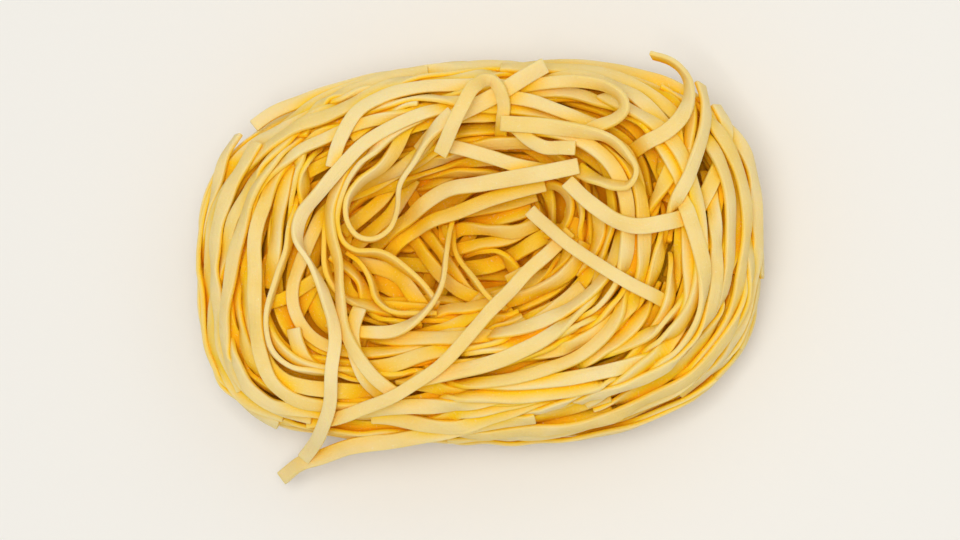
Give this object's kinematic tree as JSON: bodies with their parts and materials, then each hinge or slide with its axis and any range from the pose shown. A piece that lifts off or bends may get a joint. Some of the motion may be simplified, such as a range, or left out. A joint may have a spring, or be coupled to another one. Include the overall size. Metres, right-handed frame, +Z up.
{
  "type": "dry pasta nest",
  "caption": "Nest of dry egg pasta: thin flat ribbon strands wound into an oval ring, with loose strands and curled ends dropped across its top.",
  "frame": {"origin": "under the middle of the whole nest, loose ends and all, on the surface that it rests on", "axes": "+X along the long side of the oval, +Z up out of the hollow"},
  "size_m": [0.1153, 0.0879, 0.0418],
  "materials": {
    "egg_pasta": "dull and slightly rough, as bronze-drawn egg pasta dries"
  },
  "bodies": {
    "root": {"pasta_nest": "egg_pasta"}
  },
  "joints": []
}
